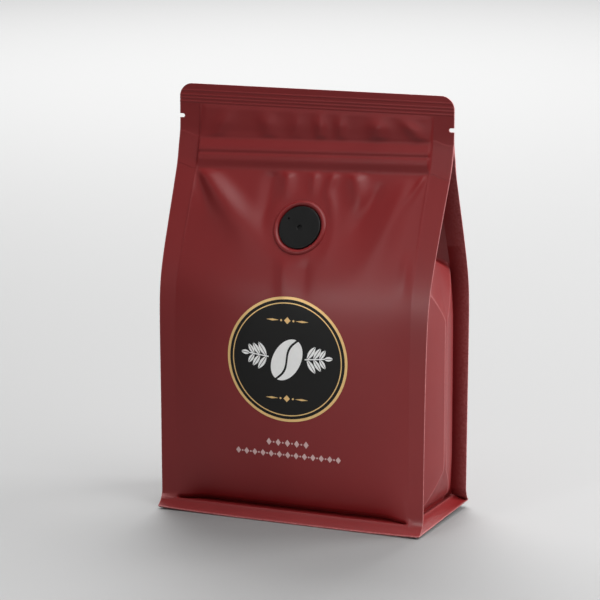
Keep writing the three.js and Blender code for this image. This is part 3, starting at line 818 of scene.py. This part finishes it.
cap = make_piece("valve_disc", *cap_skin(), cap_material(), "valve_plastic")
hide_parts("valve_cap")


# ---- The badge ------------------------------------------------------------------------------
# Printed on the film's front: a black round with a broad and a thin gold ring, and on it a
# coffee bean between two leafy sprigs in white, with small gold ornaments above and below.

BADGE_HEIGHT, BADGE_RADIUS, BADGE_WIDENS = 73.2, 27.5, 1.03
BADGE_RINGS = ((BADGE_RADIUS - 1.15, BADGE_RADIUS), (BADGE_RADIUS - 2.95, BADGE_RADIUS - 2.5))
BADGE_SEGMENTS, BADGE_STEP, UNDER_RING = 240, 0.7, 0.4
INK_ROOT, BLACK_LIFT, COLOUR_LIFT = 0.05, 0.05, 0.085
BEAN_LENGTH, BEAN_WIDTH, BEAN_TILT, BEAN_SLIT, BEAN_WAVE = 20.0, 12.8, 60, 1.0, 0.22
LEAF_PAIRS = (
    dict(at=9.5, length=7.2, width=2.5), dict(at=12.6, length=6.2, width=2.3),
    dict(at=15.4, length=5.0, width=2.1),
)
LEAF_TILT, LEAF_VEIN = 56, 0.25
SPRIG_TILT, SPRIG_RISE = 6, 0.1
END_LEAF = dict(at=19.6, length=4.2, width=2.0)
STEM = dict(at=13.2, length=9.4, width=0.5)
ORNAMENT_RISE = 17.2
ORNAMENT_DIAMOND, ORNAMENT_DOT, ORNAMENT_LANCE = 3.0, 0.9, (6.0, 0.9)
DOT_AT, LANCE_AT = 2.9, 7.0


def ink_loop(x, z, lift):
    """Loops across a thin layer over a grid of x and z on the front film: over the grid at the
    lift and back under it just inside the film."""
    over = np.stack([x, -front_reach(x, z) - lift, z], axis=-1)
    under = np.stack([x, -front_reach(x, z) + INK_ROOT, z], axis=-1)
    return np.concatenate([over, under[:, ::-1]], axis=1)


def ink_ring(inner, outer, lift):
    """A printed ring round the badge's centre: radius across, turn along, a little wider than
    high, since the film stretches across as the bag is filled."""
    turn = np.linspace(0, 2 * np.pi, BADGE_SEGMENTS + 1)[:, None]
    radius = np.linspace(inner, outer, max(3, int(round((outer - inner) / BADGE_STEP))))[None, :]
    x, z = BADGE_WIDENS * radius * np.sin(turn), BADGE_HEIGHT + radius * np.cos(turn)
    return skin(ink_loop(x, z, lift))


def shape(length, width, tilt, centre, lower, upper, steps=21):
    """Ink between two curves of a small motif, closed at both tips. Along it runs from -1 to 1,
    closer at the tips, and the curves give the way across in half widths. Then it is tilted
    and set in place."""
    along = np.sin(np.linspace(-0.5, 0.5, steps) * np.pi)[:, None]
    share = np.linspace(0, 1, 4)[None, :]
    across = (lower(along) * (1 - share) + upper(along) * share) * width / 2
    along = along * length / 2 + 0 * across
    turn = math.radians(tilt)
    x = centre[0] + along * math.cos(turn) - across * math.sin(turn)
    z = centre[1] + along * math.sin(turn) + across * math.cos(turn)
    loop = ink_loop(x, z, COLOUR_LIFT)
    first, last = (np.broadcast_to(tip.mean(axis=0), tip.shape) for tip in (loop[0], loop[-1]))
    return skin(np.concatenate([first[None], loop, last[None]]))


def circle(t):
    """Half a circle: the root of one less the square."""
    return np.sqrt(np.maximum(0, 1 - t**2))


def lozenge(t):
    """Falls evenly from the middle to the tips."""
    return 1 - np.abs(t)


def bar(t):
    """Even all along."""
    return 1 + 0 * t


def both_sides(edge, length, width, tilt, centre, steps=21):
    """A motif with the same edge on either side of its middle line."""
    return shape(length, width, tilt, centre, lambda t: -edge(t), edge, steps)


def leaf(length, width, tilt, centre):
    """A pointed leaf in two halves beside its vein: each edge is a parabola."""
    vein = LEAF_VEIN / width
    edge = lambda t: np.maximum(vein, 1 - t**2)
    return [
        shape(length, width, tilt, centre, lambda t: vein + 0 * t, edge),
        shape(length, width, tilt, centre, lambda t: -edge(t), lambda t: -vein + 0 * t),
    ]


def diamond(length, width, centre):
    """A diamond, or a lance where it is long and narrow."""
    return both_sides(lozenge, length, width, 0, centre, steps=13)


def dot(size, centre):
    """A round dot."""
    return both_sides(circle, size, size, 0, centre, steps=15)


def bean():
    """A coffee bean in two halves: an ellipse cut by an S-shaped slit, a sine along it."""
    slit = lambda t: BEAN_WAVE * np.sin(np.pi * t)
    half = BEAN_SLIT / BEAN_WIDTH
    upper = lambda t: np.maximum(slit(t) + half, circle(t))
    lower = lambda t: np.minimum(slit(t) - half, -circle(t))
    size = (BEAN_LENGTH, BEAN_WIDTH, BEAN_TILT, (0, BADGE_HEIGHT))
    return [
        shape(*size, lambda t: slit(t) + half, upper, steps=41),
        shape(*size, lower, lambda t: slit(t) - half, steps=41),
    ]


def sprig(side):
    """A sprig beside the bean: three pairs of leaves that shrink outwards, an end leaf and the
    stem, on a line that rises a little outwards."""
    parts = []
    for pair in LEAF_PAIRS:
        for tilt in (LEAF_TILT, -LEAF_TILT):
            reach, turn = 0.5 * pair["length"], math.radians(tilt)
            x = side * (pair["at"] + reach * math.cos(turn))
            z = BADGE_HEIGHT + SPRIG_RISE * pair["at"] + reach * math.sin(turn)
            parts += leaf(pair["length"], pair["width"], side * tilt, (x, z))
    tip = (side * END_LEAF["at"], BADGE_HEIGHT + SPRIG_RISE * END_LEAF["at"])
    middle = (side * STEM["at"], BADGE_HEIGHT + SPRIG_RISE * STEM["at"])
    parts += leaf(END_LEAF["length"], END_LEAF["width"], side * SPRIG_TILT, tip)
    parts.append(both_sides(bar, STEM["length"], STEM["width"], side * SPRIG_TILT, middle))
    return parts


INK_DARKER, INK_LIGHTER, INK_GLOSS_SPREAD = 0.93, 1.05, 0.05


def ink_material(name, colour, roughness, metallic=0.0):
    """Printing ink under the matt varnish: even colour with a faint mottle and fine grain."""
    material, tree, shader = new_material(name)
    shader.inputs["Metallic"].default_value = metallic
    shader.inputs["Specular IOR Level"].default_value = 0.28
    mottle = noise(tree, scale=400, detail=3)
    darker, lighter = INK_DARKER * np.array(colour), np.minimum(1, INK_LIGHTER * np.array(colour))
    tree.links.new(between(tree, mottle, darker, lighter), shader.inputs["Base Color"])
    uneven_gloss(tree, shader, mottle, roughness - INK_GLOSS_SPREAD, roughness + INK_GLOSS_SPREAD)
    grain = relief(tree, noise(tree, scale=2200), strength=0.1, depth=0.00005)
    tree.links.new(grain.outputs["Normal"], shader.inputs["Normal"])
    return material


BLACK_INK = ink_material("black_ink", (0.0022, 0.0022, 0.0019), roughness=0.5)
GOLD_INK = ink_material("gold_ink", (0.80, 0.53, 0.22), roughness=0.42, metallic=0.3)
WHITE_INK = ink_material("white_ink", (0.86, 0.86, 0.85), roughness=0.5)
ground = ink_ring(0, BADGE_RADIUS - UNDER_RING, BLACK_LIFT)
rings = together(*(ink_ring(inner, outer, COLOUR_LIFT) for inner, outer in BADGE_RINGS))
bean_and_sprigs = together(*bean(), *sprig(1), *sprig(-1))
make_piece("badge_ground", *ground, BLACK_INK, "print_black")
make_piece("badge_rings", *rings, GOLD_INK, "print_gold")
make_piece("badge_bean_and_sprigs", *bean_and_sprigs, WHITE_INK, "print_white")

ornaments = []
for height in (BADGE_HEIGHT + ORNAMENT_RISE, BADGE_HEIGHT - ORNAMENT_RISE):
    ornaments.append(diamond(ORNAMENT_DIAMOND, ORNAMENT_DIAMOND, (0, height)))
    for side in (1, -1):
        ornaments.append(dot(ORNAMENT_DOT, (side * DOT_AT, height)))
        ornaments.append(diamond(*ORNAMENT_LANCE, (side * LANCE_AT, height)))
make_piece("badge_ornaments", *together(*ornaments), GOLD_INK, "print_gold")


# ---- The ornament rows ----------------------------------------------------------------------
# Two printed rows of diamonds and dots under the badge, in a pale pinkish ink, a short row
# above a long one.

ROWS = (
    dict(height=35.9, width=20.0, tall=3.2, count=5),
    dict(height=30.5, width=50.0, tall=3.0, count=13),
)
ROW_DIAMOND, ROW_DOT = 2.4, 0.8
PALE_INK = ink_material("pale_ink", (0.62, 0.43, 0.42), roughness=0.5)
motifs = []
for row in ROWS:
    gaps = row["count"] - 1
    pitch = (row["width"] - ROW_DIAMOND) / gaps
    for place in range(row["count"]):
        x = (place - gaps / 2) * pitch
        motifs.append(diamond(ROW_DIAMOND, row["tall"], (x, row["height"])))
        if place < gaps:
            motifs.append(dot(ROW_DOT, (x + pitch / 2, row["height"])))
make_piece("ornament_rows", *together(*motifs), PALE_INK, "print_pale")


# ---- Camera ---------------------------------------------------------------------------------
# Stands to the right of the front and a little above the bag, with a long lens, and looks a
# little left of the bag's middle.

CAMERA_TARGET = Vector((-6.85, 0, 93.75)) * MM
CAMERA_TURN, CAMERA_RISE, CAMERA_DISTANCE = 23.90, 11.09, 1198 * MM
CAMERA_SENSOR, CAMERA_LENS = 36, 162.65


def stand(thing, aim, turn, rise, distance):
    """Stands a camera or lamp in the scene, at a distance in metres from the point that it looks
    at. The turn is from the front towards the right and the rise from the floor, in degrees."""
    turn, rise = math.radians(turn), math.radians(rise)
    way = Vector((math.sin(turn) * math.cos(rise), -math.cos(turn) * math.cos(rise), math.sin(rise)))
    thing.location = Vector(aim) + way * distance
    thing.rotation_mode = "QUATERNION"
    thing.rotation_quaternion = (-way).to_track_quat("-Z", "Y")
    bpy.context.scene.collection.objects.link(thing)


camera = bpy.data.objects.new("camera", bpy.data.cameras.new("camera"))
camera.data.sensor_width = CAMERA_SENSOR
camera.data.lens = CAMERA_LENS
stand(camera, CAMERA_TARGET, CAMERA_TURN, CAMERA_RISE, CAMERA_DISTANCE)
bpy.context.scene.camera = camera


# ---- Floor and light ------------------------------------------------------------------------
# A plain pale floor under soft studio lamps, in metres and watts. The strongest stands behind
# the right side. Others stand to the right, above and in front, a beam with a soft edge lifts
# the lower right of the front, and a wide lamp over the far floor lets it fade to white.

FLOOR_HALF, FLOOR_GREY, FLOOR_ROUGHNESS = 8, 0.23, 0.7
floor_mesh = bpy.data.meshes.new("floor")
floor_corners = [(x * FLOOR_HALF, y * FLOOR_HALF, 0) for x, y in ((-1, -1), (1, -1), (1, 1), (-1, 1))]
floor_mesh.from_pydata(floor_corners, [], [(0, 1, 2, 3)])
floor = bpy.data.objects.new("floor", floor_mesh)
bpy.context.scene.collection.objects.link(floor)
floor_paint, _, floor_shader = new_material("floor_paint")
floor_shader.inputs["Base Color"].default_value = (FLOOR_GREY, FLOOR_GREY, FLOOR_GREY, 1)
floor_shader.inputs["Roughness"].default_value = FLOOR_ROUGHNESS
floor.data.materials.append(floor_paint)

BAG_MIDDLE = (0, 0, 0.09)
BEAM_AIM, BEAM_WIDTH, BEAM_SIZE = (0.07, -0.03, 0.034), 15, 0.08
FAR_LAMP_PLACE, FAR_LAMP_SIZE = (-0.8, 1.9, 1.6), 2.4
WORLD_STRENGTH = 0.01


def lamp(name, kind, power):
    """A lamp of a given kind, with its power in watts."""
    made = bpy.data.objects.new(name, bpy.data.lights.new(name, kind))
    made.data.energy = power
    return made


def soft_light(name, turn, rise, distance, size, power):
    """A square lamp of a given side, aimed at the middle of the bag."""
    square = lamp(name, "AREA", power)
    square.data.shape = "SQUARE"
    square.data.size = size
    stand(square, BAG_MIDDLE, turn, rise, distance)


soft_light("right_behind", turn=122, rise=26, distance=1.2, size=0.6, power=13.5)
soft_light("right_low", turn=110, rise=6, distance=1.2, size=0.6, power=2.2)
soft_light("right_above", turn=74, rise=48, distance=0.75, size=0.45, power=3.0)
soft_light("above", turn=20, rise=74, distance=0.75, size=0.45, power=3.0)
soft_light("front", turn=-8, rise=20, distance=1.2, size=0.6, power=1.8)
soft_light("left", turn=-60, rise=25, distance=1.2, size=0.6, power=0.8)

beam = lamp("low_right_beam", "SPOT", power=11)
beam.data.spot_size = math.radians(BEAM_WIDTH)
beam.data.spot_blend = 1
beam.data.shadow_soft_size = BEAM_SIZE
stand(beam, BEAM_AIM, turn=-20, rise=14, distance=0.8)

far_lamp = lamp("far_floor", "AREA", power=160)
far_lamp.data.shape = "SQUARE"
far_lamp.data.size = FAR_LAMP_SIZE
far_lamp.location = FAR_LAMP_PLACE
bpy.context.scene.collection.objects.link(far_lamp)

world = bpy.data.worlds.new("studio")
bpy.context.scene.world = world
world.use_nodes = True
world.node_tree.nodes["Background"].inputs["Color"].default_value = (1, 1, 1, 1)
world.node_tree.nodes["Background"].inputs["Strength"].default_value = WORLD_STRENGTH
bpy.context.scene.view_settings.view_transform = "Standard"
